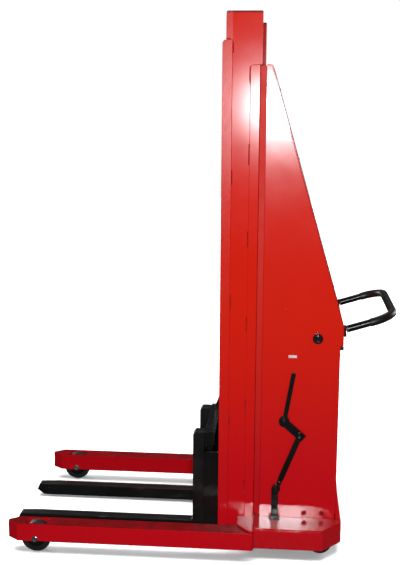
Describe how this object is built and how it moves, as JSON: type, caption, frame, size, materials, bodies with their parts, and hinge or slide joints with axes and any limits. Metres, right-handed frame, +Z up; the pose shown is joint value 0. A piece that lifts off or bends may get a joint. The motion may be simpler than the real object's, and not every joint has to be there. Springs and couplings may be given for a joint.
{
  "type": "drywall lift",
  "caption": "Walk-behind straddle lift with single mast, fork carriage on a chain, sheet-covered power pack, push handle and floor lock.",
  "frame": {"origin": "on the floor under the middle of the whole machine", "axes": "+Z up along the mast, -X along the forks, +X towards the operator's handle, -Y the operator's left with the floor lock"},
  "size_m": [1.4666, 0.8306, 2],
  "materials": {
    "red_paint": "gloss",
    "black_paint": "gloss",
    "rubber": "matte",
    "tyre": "matte",
    "steel": "satin",
    "chrome": "polished",
    "plastic": "matte"
  },
  "bodies": {
    "chassis": {"base_plate": "red_paint", "base_skirt": "red_paint", "kick_skirt": "red_paint", "leg_left": "red_paint", "leg_right": "red_paint", "mast_side_left": "red_paint", "mast_side_right": "red_paint", "mast_rail_left": "red_paint", "mast_rail_right": "red_paint", "mast_foot_beam": "red_paint", "mast_top_beam": "red_paint", "chain_anchor_beam": "red_paint", "cover_rail_left": "red_paint", "cover_rail_right": "red_paint", "upper_rear_cover": "red_paint", "lower_rear_cover": "red_paint", "side_panel_left": "red_paint", "side_panel_right": "red_paint", "equipment_shelf": "red_paint", "lift_cylinder": "black_paint", "push_handle": "black_paint", "handle_bracket_left": "black_paint", "handle_bracket_right": "black_paint", "lock_pivot": "black_paint", "lock_guide": "black_paint", "hydraulic_unit": "black_paint", "handle_grip": "rubber", "hydraulic_hose": "rubber", "load_axle_left": "steel", "load_axle_right": "steel", "caster_plate_left": "steel", "caster_plate_right": "steel", "cylinder_gland": "steel", "chain_rear_run": "steel", "battery": "plastic"},
    "carriage": {"carriage_frame": "black_paint", "carriage_cheek_left": "black_paint", "carriage_cheek_right": "black_paint", "fork_left": "black_paint", "fork_right": "black_paint"},
    "ram": {"piston_rod": "chrome", "ram_crosshead": "black_paint", "chain_over_sheave": "steel", "chain_front_run": "steel"},
    "sheave": {"chain_sheave": "steel"},
    "roller_lower_left": {"mast_roller_lower_left": "steel"},
    "roller_lower_right": {"mast_roller_lower_right": "steel"},
    "roller_upper_left": {"mast_roller_upper_left": "steel"},
    "roller_upper_right": {"mast_roller_upper_right": "steel"},
    "front_wheel_left": {"load_wheel_left": "tyre"},
    "front_wheel_right": {"load_wheel_right": "tyre"},
    "swivel_left": {"caster_fork_left": "steel"},
    "swivel_right": {"caster_fork_right": "steel"},
    "rear_wheel_left": {"caster_wheel_left": "tyre"},
    "rear_wheel_right": {"caster_wheel_right": "tyre"},
    "lever": {"lock_lever": "black_paint"},
    "link": {"lock_link": "black_paint"},
    "plunger": {"lock_plunger": "black_paint", "lock_pad": "rubber"},
    "knob": {"control_knob": "plastic"}
  },
  "joints": [
    {"name": "carriage_lift", "type": "slide", "parent": "chassis", "child": "carriage", "axis": [0, 0, 1], "range_m": [0, 1.42]},
    {"name": "ram_slide", "type": "slide", "parent": "chassis", "child": "ram", "axis": [0, 0, 1], "range_m": [0, 0.71], "deforming": ["chain_front_run", "chain_rear_run"]},
    {"name": "sheave_spin", "type": "hinge", "parent": "ram", "child": "sheave", "pos_m": [0.1635, 0, 1.176], "axis": [0, 1, 0], "range_deg": [0, 1020]},
    {"name": "roller_spin_lower_left", "type": "hinge", "parent": "carriage", "child": "roller_lower_left", "pos_m": [0.1635, -0.232, 0.16], "axis": [0, 1, 0], "continuous": true},
    {"name": "roller_spin_lower_right", "type": "hinge", "parent": "carriage", "child": "roller_lower_right", "pos_m": [0.1635, 0.232, 0.16], "axis": [0, 1, 0], "continuous": true},
    {"name": "roller_spin_upper_left", "type": "hinge", "parent": "carriage", "child": "roller_upper_left", "pos_m": [0.1635, -0.232, 0.455], "axis": [0, 1, 0], "continuous": true},
    {"name": "roller_spin_upper_right", "type": "hinge", "parent": "carriage", "child": "roller_upper_right", "pos_m": [0.1635, 0.232, 0.455], "axis": [0, 1, 0], "continuous": true},
    {"name": "front_wheel_spin_left", "type": "hinge", "parent": "chassis", "child": "front_wheel_left", "pos_m": [-0.6045, -0.3735, 0.057], "axis": [0, 1, 0], "continuous": true},
    {"name": "front_wheel_spin_right", "type": "hinge", "parent": "chassis", "child": "front_wheel_right", "pos_m": [-0.6045, 0.3735, 0.057], "axis": [0, 1, 0], "continuous": true},
    {"name": "caster_swivel_left", "type": "hinge", "parent": "chassis", "child": "swivel_left", "pos_m": [0.4385, -0.292, 0.098], "axis": [0, 0, 1], "continuous": true},
    {"name": "caster_swivel_right", "type": "hinge", "parent": "chassis", "child": "swivel_right", "pos_m": [0.4385, 0.292, 0.098], "axis": [0, 0, 1], "continuous": true},
    {"name": "caster_wheel_spin_left", "type": "hinge", "parent": "swivel_left", "child": "rear_wheel_left", "pos_m": [0.4665, -0.292, 0.045], "axis": [0, 1, 0], "continuous": true},
    {"name": "caster_wheel_spin_right", "type": "hinge", "parent": "swivel_right", "child": "rear_wheel_right", "pos_m": [0.4665, 0.292, 0.045], "axis": [0, 1, 0], "continuous": true},
    {"name": "lock_lever_hinge", "type": "hinge", "parent": "chassis", "child": "lever", "pos_m": [0.3235, -0.279, 0.507], "axis": [0, 1, 0], "range_deg": [0, 48.7]},
    {"name": "lock_link_hinge", "type": "hinge", "parent": "lever", "child": "link", "pos_m": [0.3815, -0.284, 0.456], "axis": [0, 1, 0], "range_deg": [-64, 0]},
    {"name": "lock_plunger_hinge", "type": "hinge", "parent": "link", "child": "plunger", "pos_m": [0.2975, -0.284, 0.243], "axis": [0, 1, 0], "range_deg": [0, 15.1]},
    {"name": "knob_turn", "type": "hinge", "parent": "chassis", "child": "knob", "pos_m": [0.4405, -0.28, 0.83], "axis": [0, 1, 0], "range_deg": [-30, 30], "stiffness_Nm_per_rad": 0.5}
  ],
  "couplings": [
    {"joint": "ram_slide", "follows": "carriage_lift", "ratio": 0.5},
    {"joint": "sheave_spin", "follows": "carriage_lift", "rad_per_m": 12.5},
    {"joint": "lock_link_hinge", "follows": "lock_lever_hinge", "ratio": -1.3081},
    {"joint": "lock_plunger_hinge", "follows": "lock_lever_hinge", "ratio": 0.3081}
  ]
}
